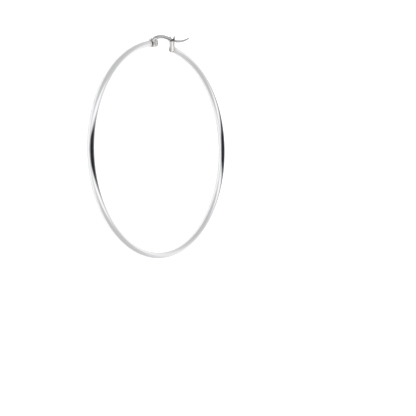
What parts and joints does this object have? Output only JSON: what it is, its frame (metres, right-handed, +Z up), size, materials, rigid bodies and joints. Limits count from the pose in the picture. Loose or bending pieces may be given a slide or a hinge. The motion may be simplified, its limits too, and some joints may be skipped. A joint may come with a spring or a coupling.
{
  "type": "hoop earring",
  "caption": "Large plain hoop earring of round polished tube, with a hinged arched ear wire that snaps into a notched catch plate, lying on its side.",
  "frame": {"origin": "under the middle of the earring's box, on the surface that the hoop lies on; the hoop's own centre is 1.4 mm towards -Y of it and 1.2 mm up", "axes": "+Z up along the hoop's axis, +Y from the hoop's middle to its closure, +X from the hinge to the catch"},
  "size_m": [0.07, 0.0728, 0.0024],
  "materials": {
    "hoop_steel": "mirror-polished stainless steel with faint polishing lines along the tube",
    "rivet_steel": "polished stainless steel, riveted flush",
    "wire_steel": "polished drawn stainless steel wire"
  },
  "bodies": {
    "hoop_body": {"hoop": "hoop_steel", "hinge_pin": "rivet_steel"},
    "wire_body": {"ear_wire": "wire_steel"}
  },
  "joints": [
    {"name": "ear_wire_hinge", "type": "hinge", "parent": "hoop_body", "child": "wire_body", "pos_m": [-0.00508, 0.03244, 0.0012], "axis": [0, 0, 1], "range_deg": [0, 60]}
  ]
}
